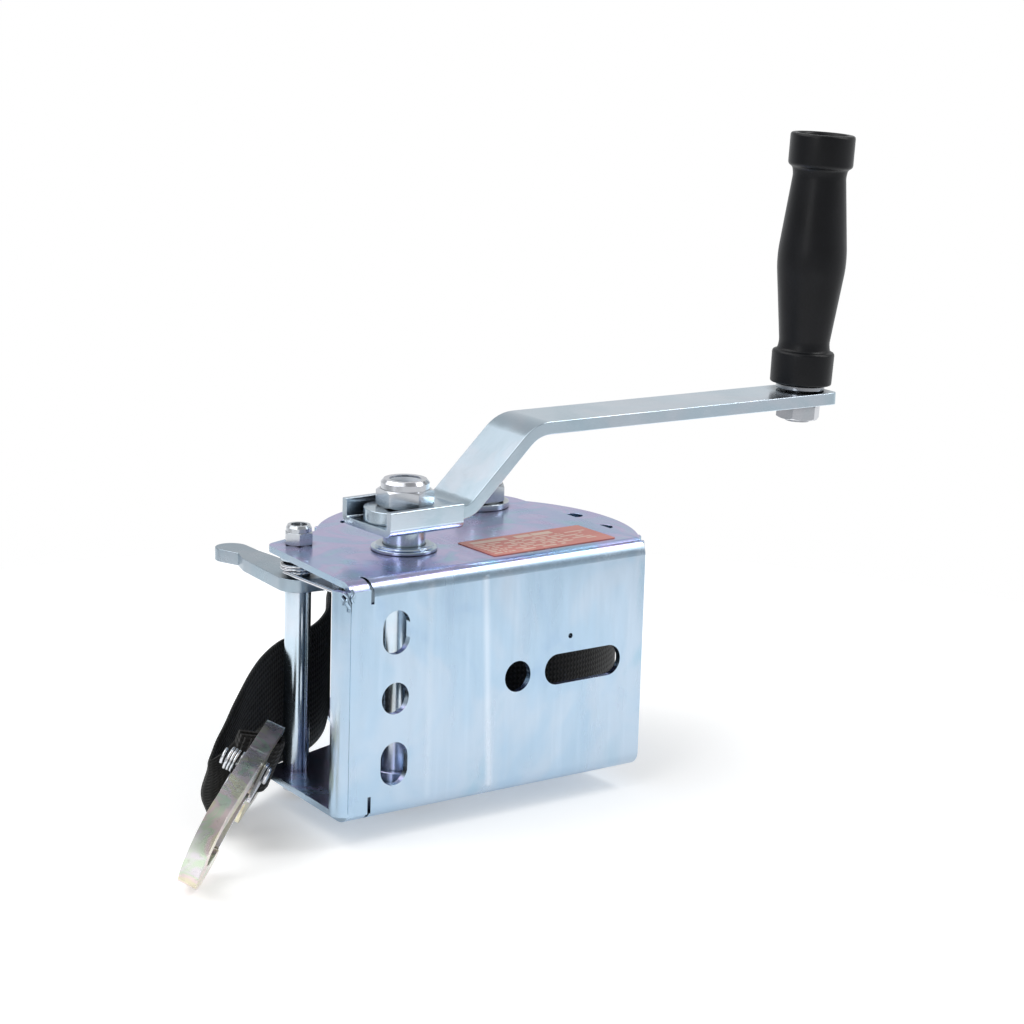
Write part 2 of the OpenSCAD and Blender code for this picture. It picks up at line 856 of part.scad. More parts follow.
// Gate of the hook: two cheeks on the rivet, joined by a tongue behind the hook's point
module hook_latch() {
    tongue_t = 1.6;
    reach = 38;
    color(zinc) at_latch() difference() {
        union() {
            for (z = [-cheek_z - cheek_t, cheek_z])
                translate([0, 0, z]) plate([[0, 0, 4.5], [11.5, 0.6, 2.2]], cheek_t);
            translate([11, -0.2, -cheek_z - cheek_t]) cube([2.5, tongue_t, 2 * (cheek_z + cheek_t)]);
            translate([11.5, -0.2, 0.1 - hook_t / 2]) cube([reach - 11.5, tongue_t, hook_t - 0.2]);
        }
        translate([0, 0, -hook_t]) cylinder(r = rivet_r + run, h = 2 * hook_t);
    }
}

frame();
upper_bush();
lower_bush();
label();
axle_bolt();
axle_sleeve();
axle_washer();
axle_nut();
stud_bolt();
stud_washer();
stud_tube();
pawl_bush();
stud_nut();
strap_tail();
strap_eye();
drive_shaft();
pinion();
shaft_clip();
crank_bracket();
crank_arm();
crank_nut();
grip_bolt();
grip_nut();
grip_washer();
grip();
drum_gear();
drum_hub();
drum_bush();
drum_flange();
strap_pin();
strap_roll();
pawl();
pawl_spring();
hook_body();
latch_rivet();
latch_spring();
hook_latch();
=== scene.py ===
import json
import math

import bpy
import numpy as np
from mathutils import Matrix, Vector


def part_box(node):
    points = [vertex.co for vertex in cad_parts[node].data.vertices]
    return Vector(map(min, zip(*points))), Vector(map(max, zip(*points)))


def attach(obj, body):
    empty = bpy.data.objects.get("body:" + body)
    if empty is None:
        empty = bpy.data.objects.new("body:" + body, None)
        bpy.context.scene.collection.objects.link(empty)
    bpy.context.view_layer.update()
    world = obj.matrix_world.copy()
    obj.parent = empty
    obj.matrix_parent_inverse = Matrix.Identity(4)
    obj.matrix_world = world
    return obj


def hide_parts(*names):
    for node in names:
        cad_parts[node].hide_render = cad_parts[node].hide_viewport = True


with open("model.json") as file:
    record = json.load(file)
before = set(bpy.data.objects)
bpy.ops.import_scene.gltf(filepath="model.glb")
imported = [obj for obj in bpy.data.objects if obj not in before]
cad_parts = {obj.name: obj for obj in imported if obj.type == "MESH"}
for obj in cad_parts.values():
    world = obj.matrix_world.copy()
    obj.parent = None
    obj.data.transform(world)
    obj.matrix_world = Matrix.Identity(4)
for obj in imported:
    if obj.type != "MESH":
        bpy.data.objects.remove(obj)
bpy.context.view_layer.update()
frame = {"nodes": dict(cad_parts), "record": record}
nodes = frame["nodes"]

MM = 0.001
CORNER = np.array([74.0, 0.0, 45.5])        # the origin, on the scale that places the axes
SHAFT = (55.0, 35.0)
AXLE = (122.712, 79.818)
STUD = (25.5, 62.0)
GRIP_FOOT = np.array([252.0, 35.0, 136.8])
GRIP_LEAN = math.radians(3.2)


def at(point):
    """A point in millimetres, on the scale that places the axes, in the frame in metres."""
    return (np.asarray(point, float) - CORNER) * MM


def upright(centre):
    """Places points given round a vertical axis."""
    return lambda p: at((centre[0] + p[0], centre[1] + p[1], p[2]))


def on_grip(p):
    """Places points given round the grip's leaning axis, from the grip's foot."""
    c, s = math.cos(GRIP_LEAN), math.sin(GRIP_LEAN)
    return at(GRIP_FOOT + np.array([p[0] * c + p[2] * s, p[1], p[2] * c - p[0] * s]))


# ---------------------------------------------------------------- materials


class Shader:
    """A Principled material and short ways to wire its nodes."""

    def __init__(self, name):
        self.mat = bpy.data.materials.new(name)
        self.mat.use_nodes = True
        self.tree = self.mat.node_tree
        self.bsdf = self.tree.nodes["Principled BSDF"]
        self.coord = self.tree.nodes.new("ShaderNodeTexCoord")

    def node(self, kind, out=0, props=None, **inputs):
        n = self.tree.nodes.new("ShaderNode" + kind)
        for key, value in (props or {}).items():
            setattr(n, key, value)
        for key, value in inputs.items():
            numbered = key[0] == "i" and key[1:].isdigit()
            self.put(n.inputs[int(key[1:]) if numbered else key.replace("_", " ")], value)
        return n.outputs[out]

    def put(self, slot, value):
        if isinstance(value, bpy.types.NodeSocket):
            self.tree.links.new(value, slot)
        else:
            slot.default_value = value

    def set(self, **inputs):
        for key, value in inputs.items():
            self.put(self.bsdf.inputs[key.replace("_", " ")], value)

    def math(self, op, a, b=0.0, c=0.0):
        return self.node("Math", props={"operation": op}, i0=a, i1=b, i2=c)

    def scaled(self, xyz, source="Object"):
        return self.node("Mapping", Vector=self.coord.outputs[source], Scale=xyz)

    def noise(self, scale, detail=3.0, rough=0.5, stretch=(1, 1, 1), source="Object", distort=0.0):
        return self.node("TexNoise", Vector=self.scaled(stretch, source), Scale=scale, Detail=detail,
                         Roughness=rough, Distortion=distort)

    def ramp(self, fac, stops, ease="EASE"):
        n = self.tree.nodes.new("ShaderNodeValToRGB")
        n.color_ramp.interpolation = ease
        while len(n.color_ramp.elements) < len(stops):
            n.color_ramp.elements.new(0.5)
        for e, (pos, col) in zip(n.color_ramp.elements, stops):
            e.position = pos
            e.color = (col[0], col[1], col[2], 1) if hasattr(col, "__len__") else (col, col, col, 1)
        self.put(n.inputs["Fac"], fac)
        return n.outputs["Color"]

    def mix(self, fac, a, b, mode="MIX"):
        n = self.tree.nodes.new("ShaderNodeMix")
        n.data_type = "RGBA"
        n.blend_type = mode
        self.put(n.inputs[0], fac)
        self.put(n.inputs[6], a)
        self.put(n.inputs[7], b)
        return n.outputs[2]

    def band(self, value, low, high):
        above = self.math("GREATER_THAN", value, low)
        return self.math("MULTIPLY", above, self.math("LESS_THAN", value, high))

    def axes(self, source="Object"):
        sep = self.tree.nodes.new("ShaderNodeSeparateXYZ")
        self.put(sep.inputs[0], self.coord.outputs[source])
        return sep.outputs

    def bump(self, height, distance, strength=1.0, normal=None):
        inputs = {"Height": height, "Distance": distance, "Strength": strength}
        if normal is not None:
            inputs["Normal"] = normal
        return self.node("Bump", **inputs)


def painted_gap_shade(s, colour):
    """The colour with painted shade: darker in narrow gaps and at contacts."""
    gap = s.node("AmbientOcclusion", out=1, Distance=0.007)
    return s.mix(1.0, colour, s.ramp(gap, [(0.25, 0.30), (0.85, 1.0)]), "MULTIPLY")


def plated(name, tints, rough, grain=0.00002, patch=26.0):
    """Zinc-plated steel: cloudy tints, and a surface that is smoother in places than in others."""
    s = Shader(name)
    clouds = s.noise(patch, 4.0, 0.55, distort=0.6)
    col = s.ramp(clouds, [(0.30, tints[0]), (0.45, tints[1]), (0.58, tints[2]), (0.74, tints[3])])
    specks = s.noise(1400.0, 2.0)
    col = s.mix(s.ramp(specks, [(0.66, 0.0), (0.80, 0.25)]), col, (0.50, 0.53, 0.58, 1))
    fine = s.noise(420.0, 3.0, 0.6)
    smear = s.noise(60.0, 4.0, 0.6)
    r = s.node("MapRange", Value=smear, i1=0.3, i2=0.7, i3=rough[0], i4=rough[1])
    # painted shade darkens the colour in narrow gaps and at contacts
    s.set(Base_Color=painted_gap_shade(s, col), Metallic=1.0, Roughness=r)
    wave = s.bump(s.noise(16.0, 2.0, 0.4), 0.0012, 0.35)
    s.set(Normal=s.bump(fine, grain, 0.5, wave))
    return s


BLUE = [(0.35, 0.49, 0.66), (0.42, 0.56, 0.70), (0.48, 0.59, 0.71), (0.38, 0.54, 0.67)]


PRESS_LINE_W = 0.0024


def frame_zinc():
    """Bright zinc of the frame: lilac and teal film, painted as a sheen on the faces that look up, and press
    marks with a painted highlight on the base.
    """
    s = Shader("zinc_sheet")
    x, z = s.axes()[0], s.axes()[2]
    ny, nz = s.axes("Normal")[1:]
    clouds = s.noise(22.0, 4.0, 0.55, distort=0.8)
    base = s.ramp(clouds, [(0.28, BLUE[0]), (0.45, BLUE[1]), (0.6, BLUE[2]), (0.76, BLUE[3])])
    film = s.ramp(s.noise(34.0, 3.0, 0.5, distort=1.2),
                  [(0.30, (0.40, 0.62, 0.82)), (0.42, (0.48, 0.56, 0.86)), (0.52, (0.62, 0.54, 0.86)),
                   (0.62, (0.54, 0.60, 0.88)), (0.76, (0.42, 0.66, 0.80))])
    # painted sheen: the lighter lilac and teal film tint is laid only on faces that look up
    col = s.mix(s.ramp(nz, [(0.45, 0.0), (0.75, 0.85)]), base, film)
    streak = s.noise(30.0, 3.0, 0.6, stretch=(6, 1, 0.35))
    col = s.mix(s.ramp(streak, [(0.55, 0.0), (0.75, 0.10)]), col, (0.80, 0.86, 0.96, 1))
    pits = s.noise(900.0, 2.0)
    col = s.mix(s.ramp(pits, [(0.70, 0.0), (0.84, 0.3)]), col, (0.42, 0.46, 0.52, 1))
    # two faint press lines down the base, bumped, with a painted highlight along them
    front = s.ramp(s.math("MULTIPLY", ny, -1.0), [(0.94, 0.0), (0.99, 1.0)])
    lines = 0.0
    for place, lean, height in ((-0.0042, -0.045, 1.0), (-0.0308, 0.0, 0.35)):
        off = s.math("SUBTRACT", s.math("SUBTRACT", x, place), s.math("MULTIPLY", z, lean))
        ridge = s.ramp(s.math("DIVIDE", s.math("ABSOLUTE", off), PRESS_LINE_W), [(0.0, 1.0), (1.0, 0.0)])
        lines = s.math("ADD", s.math("MULTIPLY", ridge, height), lines)
    # painted highlight: the colour along the press lines on the front faces is lightened towards white
    col = s.mix(s.math("MULTIPLY", s.math("MULTIPLY", lines, front), 0.30), col, (0.90, 0.94, 1.0, 1))
    fine = s.noise(500.0, 3.0, 0.6, stretch=(3, 1, 0.4))
    smear = s.noise(40.0, 4.0, 0.6, stretch=(3, 1, 0.5))
    r = s.node("MapRange", Value=smear, i1=0.3, i2=0.7, i3=0.17, i4=0.30)
    # painted shade darkens the colour in narrow gaps and at contacts
    s.set(Base_Color=painted_gap_shade(s, col), Metallic=1.0, Roughness=r)
    wave = s.bump(s.noise(11.0, 2.0, 0.4), 0.0016, 0.4)
    wave = s.bump(s.math("MULTIPLY", lines, front), 0.00025, 0.6, wave)
    s.set(Normal=s.bump(fine, 0.00002, 0.5, wave))
    return s.mat


def gold_zinc():
    """Yellow passivated zinc: green, pink and straw film over mauve grey."""
    s = Shader("gold_zinc")
    n = s.noise(55.0, 4.0, 0.55, distort=1.4)
    col = s.ramp(n, [(0.26, (0.66, 0.61, 0.46)), (0.40, (0.80, 0.76, 0.56)), (0.50, (0.82, 0.69, 0.69)),
                     (0.60, (0.63, 0.73, 0.58)), (0.72, (0.74, 0.70, 0.74))])
    blot = s.noise(240.0, 3.0, 0.6)
    col = s.mix(s.ramp(blot, [(0.55, 0.0), (0.75, 0.5)]), col, (0.40, 0.36, 0.34, 1))
    r = s.node("MapRange", Value=s.noise(90.0, 4.0), i1=0.3, i2=0.7, i3=0.22, i4=0.40)
    s.set(Base_Color=col, Metallic=1.0, Roughness=r)
    s.set(Normal=s.bump(s.noise(300.0, 3.0), 0.00006, 0.6, s.bump(s.noise(60.0, 2.0), 0.0006, 0.4)))
    return s.mat


def black_plastic():
    s = Shader("black_plastic")
    col = s.ramp(s.noise(30.0, 4.0, 0.6), [(0.3, (0.0025, 0.0028, 0.004)), (0.7, (0.006, 0.0065, 0.009))])
    smear = s.noise(80.0, 4.0, 0.6, stretch=(1, 1, 0.4))
    r = s.node("MapRange", Value=smear, i1=0.3, i2=0.7, i3=0.30, i4=0.44)
    s.set(Base_Color=col, Roughness=r, Specular_IOR_Level=0.28)
    s.set(Normal=s.bump(s.noise(1100.0, 2.0), 0.00003, 0.6))
    return s.mat


RIB_PITCH = 0.0021
PICK_PITCH = 0.0017


def woven():
    """Woven webbing: ribs along the strap, crossed by picks that go over and under them."""
    s = Shader("webbing")
    u, v = s.axes("UV")[:2]
    rib = s.math("SINE", s.math("MULTIPLY", u, 2 * math.pi / RIB_PITCH))
    picks = s.math("MULTIPLY", v, 2 * math.pi / PICK_PITCH)
    pick = s.math("SINE", s.math("ADD", picks, s.math("MULTIPLY", rib, 1.2)))
    height = s.math("ADD", s.math("MULTIPLY", rib, 0.6), s.math("MULTIPLY", pick, 0.4))
    fuzz = s.noise(2600.0, 2.0)
    height = s.math("ADD", height, s.math("MULTIPLY", fuzz, 0.7))
    worn = s.noise(70.0, 4.0, 0.6)
    col = s.ramp(s.math("ADD", s.math("MULTIPLY", height, 0.25), s.math("MULTIPLY", worn, 0.6)),
                 [(0.15, 0.003), (0.75, 0.017)])
    s.set(Base_Color=col, Roughness=0.78, Specular_IOR_Level=0.25)
    s.set(Sheen_Weight=0.12, Sheen_Roughness=0.5)
    s.set(Normal=s.bump(height, 0.00018, 0.8, s.bump(worn, 0.0008, 0.3)))
    return s.mat


def thread_black():
    s = Shader("stitching")
    col = s.ramp(s.noise(900.0, 2.0), [(0.3, 0.02), (0.7, 0.05)])
    s.set(Base_Color=col, Roughness=0.6, Sheen_Weight=0.2)
    s.set(Normal=s.bump(s.noise(2400.0, 2.0), 0.00006, 0.8))
    return s.mat


def nylon():
    s = Shader("nylon_ring")
    col = s.ramp(s.noise(200.0, 2.0), [(0.3, (0.74, 0.76, 0.80)), (0.7, (0.84, 0.85, 0.88))])
    s.set(Base_Color=col, Roughness=0.4, Subsurface_Weight=0.1)
    s.set(Normal=s.bump(s.noise(900.0, 2.0), 0.00003, 0.5))
    return s.mat


def label_film():
    """Red printed film with cream bars."""
    s = Shader("label_film")
    x, y = s.axes()[:2]
    lo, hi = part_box("label")
    u = s.math("DIVIDE", s.math("SUBTRACT", x, lo[0]), hi[0] - lo[0])
    v = s.math("DIVIDE", s.math("SUBTRACT", y, lo[1]), hi[1] - lo[1])
    bars = 0.0
    # each row of bars: its lower and upper edge, its right end, and how finely it is broken up
    rows = ((0.76, 0.90, 0.72, 90.0), (0.66, 0.705, 0.95, 330.0), (0.57, 0.615, 0.90, 410.0),
            (0.48, 0.525, 0.96, 370.0), (0.39, 0.435, 0.86, 450.0), (0.30, 0.345, 0.94, 350.0),
            (0.21, 0.255, 0.91, 430.0), (0.10, 0.155, 0.62, 390.0))
    for low, high, right, fine in rows:
        words = s.math("GREATER_THAN", s.noise(fine, 1.0, stretch=(1, 0.02, 0.02)), 0.43)
        row = s.math("MULTIPLY", s.band(v, low, high), s.band(u, 0.04, right))
        bars = s.math("ADD", s.math("MULTIPLY", row, words), bars)
    red = s.ramp(s.noise(60.0, 3.0), [(0.3, (0.60, 0.15, 0.11)), (0.7, (0.68, 0.21, 0.16))])
    col = s.mix(s.math("MULTIPLY", bars, 0.75), red, (0.80, 0.66, 0.52, 1))
    s.set(Base_Color=col, Roughness=0.38, Coat_Weight=0.25, Coat_Roughness=0.2)
    s.set(Normal=s.bump(s.noise(120.0, 2.0), 0.0001, 0.4))
    return s.mat


def floor_paint():
    s = Shader("floor_paint")
    col = s.ramp(s.noise(3.0, 3.0), [(0.3, 0.90), (0.7, 0.92)])
    s.set(Base_Color=col, Roughness=0.7, Specular_IOR_Level=0.1)
    s.set(Emission_Color=(1, 1, 1, 1), Emission_Strength=0.30)
    return s.mat


ZINC = frame_zinc()
BRIGHT = plated(
    "fastener_zinc",
    [(0.62, 0.67, 0.72), (0.72, 0.76, 0.80), (0.74, 0.75, 0.80), (0.66, 0.72, 0.77)],
    rough=(0.12, 0.24),
).mat
CRANK = plated(
    "crank_zinc",
    [(0.53, 0.67, 0.77), (0.61, 0.73, 0.83), (0.67, 0.75, 0.84), (0.57, 0.71, 0.80)],
    rough=(0.14, 0.26),
).mat
LEVER = plated(
    "lever_zinc",
    [(0.32, 0.43, 0.51), (0.40, 0.50, 0.58), (0.46, 0.53, 0.60), (0.36, 0.48, 0.55)],
    rough=(0.22, 0.36), grain=0.00006,
).mat
GEAR = plated(
    "gear_zinc",
    [(0.58, 0.60, 0.66), (0.66, 0.66, 0.70), (0.70, 0.64, 0.62), (0.60, 0.64, 0.72)],
    rough=(0.20, 0.34), patch=40.0,
).mat
BRONZE = plated(
    "bronze",
    [(0.50, 0.36, 0.18), (0.58, 0.44, 0.24), (0.60, 0.48, 0.28), (0.52, 0.40, 0.22)],
    rough=(0.30, 0.45),
).mat
GOLD = gold_zinc()
PLASTIC = black_plastic()
WEB = woven()
THREAD = thread_black()
NYLON = nylon()
LABEL = label_film()

FINISH = {
    "zinc": ZINC, "gear_zinc": GEAR, "fastener": BRIGHT, "gold_zinc": GOLD, "black_plastic": PLASTIC,
    "webbing": WEB, "bronze": BRONZE, "label": LABEL,
}
SLOT = {part["node"]: part["material_slot"] for part in frame["record"]["subparts"]}


def dress(node, mat):
    me = nodes[node].data
    me.materials.clear()
    me.materials.append(mat)


for name in nodes:
    dress(name, FINISH[SLOT[name]])
for name in ("crank_arm", "crank_bracket", "drive_shaft", "upper_bush", "stud_tube", "pawl_bush"):
    dress(name, CRANK)
dress("pawl", LEVER)
dress("drum_gear", ZINC)

# ---------------------------------------------------------------- rounded edges on the metal


def soften(node, width, segments=2):
    o = nodes[node]
    weld = o.modifiers.new("weld", "WELD")
    weld.merge_threshold = 1e-6
    flat = o.modifiers.new("flat", "DECIMATE")
    flat.decimate_type = "DISSOLVE"
    flat.angle_limit = math.radians(0.6)
    bevel = o.modifiers.new("edge", "BEVEL")
    bevel.width = width * MM
    bevel.segments = segments
    bevel.limit_method = "ANGLE"
    bevel.angle_limit = math.radians(38)
    bevel.use_clamp_overlap = True
    bevel.harden_normals = False
    smooth = o.modifiers.new("shade", "WEIGHTED_NORMAL")
    smooth.keep_sharp = False
    smooth.weight = 80


for name, width in (
    ("frame", 0.4), ("upper_bush", 0.35), ("lower_bush", 0.35), ("axle_bolt", 0.4), ("axle_washer", 0.3),
    ("stud_washer", 0.25), ("crank_bracket", 0.45), ("crank_arm", 0.6), ("grip_bolt", 0.35),
    ("grip_nut", 0.3), ("grip_washer", 0.25), ("drum_gear", 0.25), ("drum_flange", 0.3), ("pawl", 0.7),
    ("pinion", 0.25), ("hook_body", 1.3), ("hook_latch", 0.25), ("latch_rivet", 0.4), ("pawl_bush", 0.2),
    ("stud_bolt", 0.25), ("shaft_clip", 0.2),
):
    soften(name, width, 3 if name in ("hook_body", "pawl", "crank_arm") else 2)

# ---------------------------------------------------------------- mesh building


def piece(name, verts, faces, mat, body, uvs=None, swap=()):
    """A mesh in metres that rides on a body, takes a material, and stands for the named nodes."""
    me = bpy.data.meshes.new(name)
    me.from_pydata([tuple(map(float, v)) for v in verts], [], [tuple(map(int, f)) for f in faces])
    me.validate()
    if uvs is not None:
        layer = me.uv_layers.new(name="UVMap")
        for loop in me.loops:
            layer.data[loop.index].uv = uvs[loop.vertex_index]
    me.polygons.foreach_set("use_smooth", [True] * len(me.polygons))
    me.set_sharp_from_angle(angle=math.radians(42))
    me.materials.append(mat)
    o = bpy.data.objects.new(name, me)
    bpy.context.scene.collection.objects.link(o)
    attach(o, body)
    if swap:
        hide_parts(*swap)
    return o


def skin(rings, closed=False):
    """Faces over equal rings of points, capped unless they close on themselves: (points, faces)."""
    rings = np.asarray(rings, float)
    n, m = rings.shape[:2]
    faces = []
    for i in range(n if closed else n - 1):
        j = (i + 1) % n
        for k in range(m):
            q = (k + 1) % m
            faces.append((i * m + k, i * m + q, j * m + q, j * m + k))
    if not closed:
        faces.append(tuple(range(m - 1, -1, -1)))
        faces.append(tuple(range((n - 1) * m, n * m)))
    return rings.reshape(-1, 3), faces


def lathe(profile, place, count=96):
    """A closed solid of revolution: profile of (radius, height), outside then bore."""
    a = np.linspace(0, 2 * math.pi, count, endpoint=False)
    rings = [[place((r * math.cos(t), r * math.sin(t), z)) for r, z in profile] for t in a]
    return skin(rings, closed=True)


def rounded_profile(points, steps=5):
    """Turns the corners (r, z, fillet) of a closed profile into small arcs."""
    out = []
    n = len(points)
    for i, (r, z, f) in enumerate(points):
        p = np.array([r, z])
        if f <= 0:
            out.append((r, z))
            continue
        a = np.array(points[i - 1][:2], float) - p
        b = np.array(points[(i + 1) % n][:2], float) - p
        f = min(f, 0.49 * np.linalg.norm(a), 0.49 * np.linalg.norm(b))
        a = p + a / np.linalg.norm(a) * f
        b = p + b / np.linalg.norm(b) * f
        for t in np.linspace(0, 1, steps):
            q = (1 - t) ** 2 * a + 2 * t * (1 - t) * p + t * t * b
            out.append((q[0], q[1]))
    return out


def spline(points, count):
    """Evenly spaced points on a smooth curve through the given ones."""
    p = np.asarray(points, float)
    ext = np.vstack([2 * p[0] - p[1], p, 2 * p[-1] - p[-2]])
    fine = []
    for i in range(1, len(ext) - 2):
        p0, p1, p2, p3 = ext[i - 1:i + 3]
        for t in np.linspace(0, 1, 24, endpoint=False):
            fine.append(0.5 * (2 * p1 + (p2 - p0) * t + (2 * p0 - 5 * p1 + 4 * p2 - p3) * t ** 2
                               + (3 * p1 - p0 - 3 * p2 + p3) * t ** 3))
    fine.append(p[-1])
    fine = np.array(fine)
    s = np.concatenate([[0], np.cumsum(np.linalg.norm(np.diff(fine[:, :3], axis=0), axis=1))])
    want = np.linspace(0, s[-1], count)
    return np.stack([np.interp(want, s, fine[:, k]) for k in range(fine.shape[1])], 1)


def tube(path, radius, sides=12):
    """A round wire along a path."""
    path = np.asarray(path, float)
    tang = np.gradient(path, axis=0)
    tang /= np.linalg.norm(tang, axis=1)[:, None]
    up = np.cross(tang[0], [0.3, 0.5, 0.8])
    up /= np.linalg.norm(up)
    rings = []
    for p, t in zip(path, tang):
        up = up - t * np.dot(up, t)
        up /= np.linalg.norm(up)
        side = np.cross(t, up)
        rings.append([p + radius * (math.cos(a) * up + math.sin(a) * side)
                      for a in np.linspace(0, 2 * math.pi, sides, endpoint=False)])
    return skin(rings)


def bundle(paths, radius, sides):
    """Several round wires in one mesh, in millimetres on the winch's scale."""
    verts, faces = [], []
    for path in paths:
        v, f = tube([at(p) for p in path], radius * MM, sides)
        base = len(verts)
        verts.extend(v)
        faces.extend(tuple(k + base for k in face) for face in f)
    return verts, faces


# ---------------------------------------------------------------- threads and nuts


THREAD_DEEP = 0.3
THREAD_HIGH = 0.32


def thread(name, body, place, radius, low, high, pitch):
    """The raised thread on the plain end of a bolt, in millimetres."""
    turns = (high - low) / pitch
    steps = int(turns * 40) + 1
    rings = []
    for i in range(steps):
        a = 2 * math.pi * turns * i / (steps - 1)
        z = low + (high - low) * i / (steps - 1)
        grow = min(1.0, i / 10, (steps - 1 - i) / 10)
        crest, foot = radius + THREAD_HIGH * grow, radius - THREAD_DEEP
        ring = []
        for r, dz in ((foot, -0.42), (crest, -0.07), (crest, 0.07), (foot, 0.42)):
            ring.append(place((r * math.cos(a), r * math.sin(a), z + dz * pitch)))
        rings.append(ring)
    v, f = skin(rings)
    piece(name, v, f, BRIGHT, body)


# ---------------------------------------------------------------- grip

GRIP_L = 102.0


def grip_piece():
    """The moulded grip: two caps, and two cones that meet in a soft knee."""
    cap, foot, head, belly, bore_r, well_r, well = 13.5, 12.8, 13.2, 14.0, 5.05, 9.8, 12.1
    low, high, mid = cap + 3.5, GRIP_L - cap - 3.5, GRIP_L / 2
    outside = (
        [(foot - 0.2, 0.0, 0.8), (foot, cap - 0.3, 1.6), (foot - 2.0, cap + 0.4, 0.9), (10.3, low, 1.2)]
        + [(belly, mid - 3, 9.0), (belly, mid + 3, 9.0), (10.8, high, 1.2)]
        + [(head - 1.9, GRIP_L - cap - 0.6, 0.9), (head, GRIP_L - cap + 0.6, 1.6), (head, GRIP_L - 0.1, 1.4),
           (10.6, GRIP_L, 0.7), (well_r, GRIP_L - 1.2, 0.4)]
    )
    bore = [(well_r, GRIP_L - well, 0.5), (bore_r, GRIP_L - well, 0.3), (bore_r, 0.0, 0.2)]
    v, f = lathe(rounded_profile(outside + bore, 7), on_grip, 128)
    piece("grip_moulding", v, f, PLASTIC, "grip", swap=["grip"])


grip_piece()

# ---------------------------------------------------------------- webbing

STRAP_T = 2.0
ROUTE = [
    (73, 112, 56, 6.8), (65.5, 101.5, 55, 6.8), (58.5, 93, 52.5, 3.5), (50, 86.5, 50.5, 1.5),
    (38, 80.5, 49.5, 0.5), (26, 75.5, 49.5, 0.5), (12, 67, 46, -2), (-2, 58, 39.5, -5),
    (-13, 50.5, 31, -6.5), (-22, 44.5, 23.5, -7), (-27, 40.5, 21, -7), (-28.5, 37.5, 21, -5),
    (-27, 35.5, 22, -2), (-23, 34.5, 24, 6), (-19, 34.4, 28, 14),
]


def strap_tail_piece():
    """The free strap: it leaves the roll, passes the stud, droops, and turns back to the hook."""
    line = spline(ROUTE, 150)
    across = np.linspace(0.0, 1.0, 22)
    xy = line[:, :2]
    tang = np.gradient(xy, axis=0)
    tang /= np.linalg.norm(tang, axis=1)[:, None]
    side = np.stack([-tang[:, 1], tang[:, 0]], 1)
    run = np.concatenate([[0], np.cumsum(np.linalg.norm(np.diff(xy, axis=0), axis=1))])
    rings, uvs = [], []
    for i, (x, y, top, low) in enumerate(line):
        high = top - low
        loss = max(0.0, 1 - high / 49.0)
        ring, uv = [], []
        for face in (1, -1):
            for s in (across if face > 0 else across[::-1]):
                edge = min(s, 1 - s)
                half = STRAP_T / 2 * min(1.0, 0.45 + edge * 20)
                wave = 0.35 * math.sin(run[i] * 0.16 + 5 * s) + loss * 2.2 * math.sin(math.pi * s * 2.5 + 0.6)
                wave += 0.5 * loss * math.sin(run[i] * 0.45 + 9 * s)
                fade = min(1.0, run[i] / 12, (run[-1] - run[i]) / 6)
                off = face * half + wave * fade
                ring.append(at((x + side[i, 0] * off, y + side[i, 1] * off, low + high * s)))
                uv.append((s * 0.049, run[i] * MM))
        rings.append(ring)
        uvs.extend(uv)
    v, f = skin(rings)
    o = piece("strap_free_end", v, f, WEB, "frame", uvs=uvs, swap=["strap_tail"])


HOOK_AT = np.array([-9, 32.5, 19.5])
ABOUT_X, ABOUT_Y, ABOUT_Z = (
    Matrix.Rotation(math.radians(angle), 3, axis)
    for axis, angle in (("X", -111.98), ("Y", 9.93), ("Z", -139.42))
)
TURN = np.array(ABOUT_Z @ ABOUT_Y @ ABOUT_X)
BAR_R = 3.1
LATCH_AT = (18.5, -6.5)
LATCH_TURN = math.radians(20.1)


def on_hook(p):
    """A point of the hook, from its eye bar, in millimetres on the winch's scale."""
    return HOOK_AT + TURN @ np.asarray(p, float)


def strap_eye_piece():
    """The sewn loop round the hook's bar, and its doubled end."""
    mid = BAR_R + 0.8 + 1.1
    leg = math.radians(-57.5)
    along = np.array([math.cos(leg), math.sin(leg)])
    normal = np.array([-along[1], along[0]])
    gap = 1.15
    start = math.asin(gap / mid)
    path = [along * 12 + normal * gap, along * 9 + normal * gap]
    for t in np.linspace(start, 2 * math.pi - start, 44):
        a = leg + t
        path.append(mid * np.array([math.cos(a), math.sin(a)]))
    path += [along * 9 - normal * gap, along * 12 - normal * gap]
    path = spline([tuple(p) + (0,) for p in path], 110)[:, :2]
    tang = np.gradient(path, axis=0)
    tang /= np.linalg.norm(tang, axis=1)[:, None]
    side = np.stack([-tang[:, 1], tang[:, 0]], 1)
    run = np.concatenate([[0], np.cumsum(np.linalg.norm(np.diff(path, axis=0), axis=1))])
    across = np.linspace(-11, 11, 14)
    rings, uvs = [], []
    for i, p in enumerate(path):
        ring = []
        for face in (1, -1):
            for w in (across if face > 0 else across[::-1]):
                half = 1.0 * min(1.0, 0.45 + (11 - abs(w)) * 0.5)
                q = p + side[i] * face * half
                ring.append(at(on_hook((q[0], w, q[1]))))
                uvs.append((w * MM, run[i] * MM))
        rings.append(ring)
    v, f = skin(rings)
    o = piece("strap_loop", v, f, WEB, "frame", uvs=uvs, swap=["strap_eye"])
    return along, normal


ROLL_R = 57.0
HUB_R = 17.0
ROLL_LOW = 6.3
ROLL_W = 49.0


